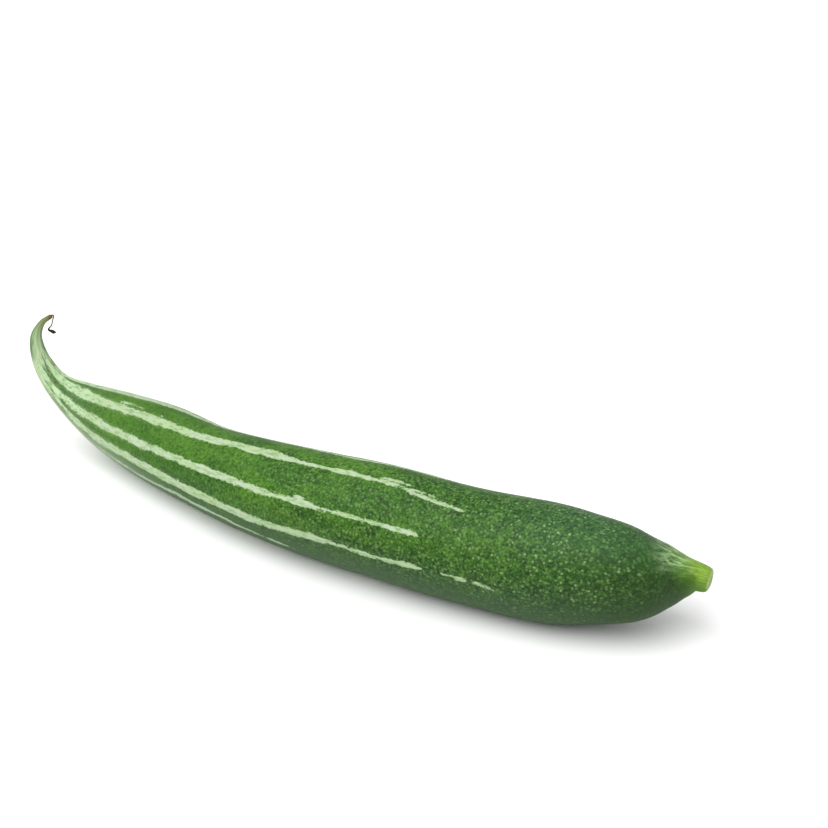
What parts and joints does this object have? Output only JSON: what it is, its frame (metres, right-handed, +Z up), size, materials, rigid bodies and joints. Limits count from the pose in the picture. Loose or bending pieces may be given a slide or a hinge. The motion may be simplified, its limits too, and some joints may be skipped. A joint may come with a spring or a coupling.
{
  "type": "snake gourd",
  "caption": "Whole short snake gourd, bowed and green with pale ragged stripes, tapering from a blunt shoulder with a stalk stub to a thin upturned tail with a withered flower.",
  "frame": {"origin": "centre of the bounding box in plan, on the surface the fruit lies on", "axes": "+X along the fruit from the tail to the stalk end, +Y towards the hollow side of the bow, +Z up"},
  "size_m": [0.3214, 0.0689, 0.0539],
  "materials": {
    "skin": "satin green skin with pale green ragged stripes and fine pale speckles",
    "stalk": "matte lime green, finely ribbed, with a pale cut face",
    "dried_flower": "dull, dry and brown"
  },
  "bodies": {
    "root": {"fruit": "skin", "stalk_stub": "stalk", "withered_flower": "dried_flower"}
  },
  "joints": []
}
